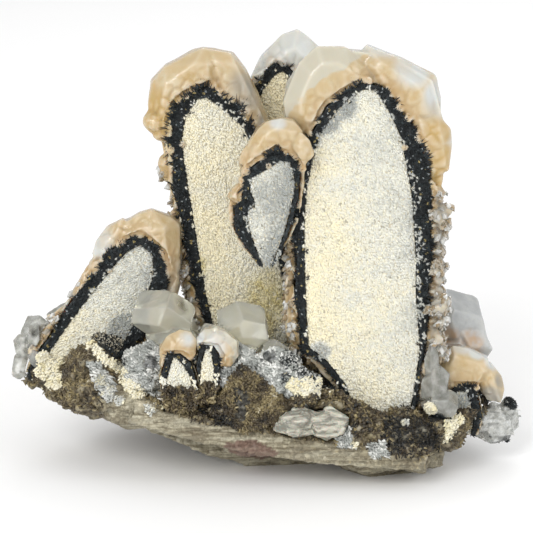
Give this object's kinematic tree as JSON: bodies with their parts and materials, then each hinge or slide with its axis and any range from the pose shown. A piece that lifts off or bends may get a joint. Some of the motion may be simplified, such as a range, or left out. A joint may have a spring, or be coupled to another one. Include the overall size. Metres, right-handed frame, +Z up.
{
  "type": "twinned calcite specimen",
  "caption": "Mineral specimen: tongue-shaped calcite blades with sugary white faces, black crusts and peach crystal rims, on brown matrix cut flat underneath.",
  "frame": {"origin": "on the flat underside of the matrix, below the middle of the specimen", "axes": "+Z up; +X to the right along the specimen's width; the white faces look towards -Y"},
  "size_m": [0.1379, 0.0696, 0.1137],
  "materials": {
    "white_druse": "matte, sugary fine-grained calcite",
    "dark_crust": "glinting black crust of fine plates",
    "peach_calcite": "translucent peach calcite with frosted edges",
    "pale_calcite": "translucent grey-green calcite, vitreous",
    "frosted_calcite": "frosted whitish calcite",
    "quartz": "bluish white granular quartz",
    "grey_calcite": "grey fibrous cleavage",
    "brown_crust": "olive-brown crust with golden specks",
    "matrix": "rough brown and grey rock, fibrous along the front"
  },
  "bodies": {
    "root": {"large_blade_white_face": "white_druse", "tall_blade_white_face": "white_druse", "middle_blade_white_face": "white_druse", "back_blade_white_face": "white_druse", "leaning_blade_white_face": "white_druse", "front_left_blade_white_face": "white_druse", "front_right_blade_white_face": "white_druse", "right_blade_white_face": "white_druse", "large_blade_dark_crust": "dark_crust", "tall_blade_dark_crust": "dark_crust", "middle_blade_dark_crust": "dark_crust", "back_blade_dark_crust": "dark_crust", "leaning_blade_dark_crust": "dark_crust", "front_left_blade_dark_crust": "dark_crust", "front_right_blade_dark_crust": "dark_crust", "right_blade_dark_crust": "dark_crust", "large_blade_calcite": "peach_calcite", "tall_blade_calcite": "peach_calcite", "middle_blade_calcite": "peach_calcite", "back_blade_calcite": "peach_calcite", "leaning_blade_calcite": "peach_calcite", "front_left_blade_calcite": "peach_calcite", "front_right_blade_calcite": "peach_calcite", "right_blade_calcite": "peach_calcite", "pale_crystals_left": "pale_calcite", "pale_crystals_centre": "pale_calcite", "clear_crystals_right": "pale_calcite", "back_crystals_left": "pale_calcite", "back_crystals_right": "pale_calcite", "frosted_crystal_right": "frosted_calcite", "left_end_crystals": "frosted_calcite", "quartz_druse": "quartz", "quartz_end_chunk": "quartz", "pale_block": "grey_calcite", "brown_wedge": "brown_crust", "matrix_rock": "matrix"}
  },
  "joints": []
}
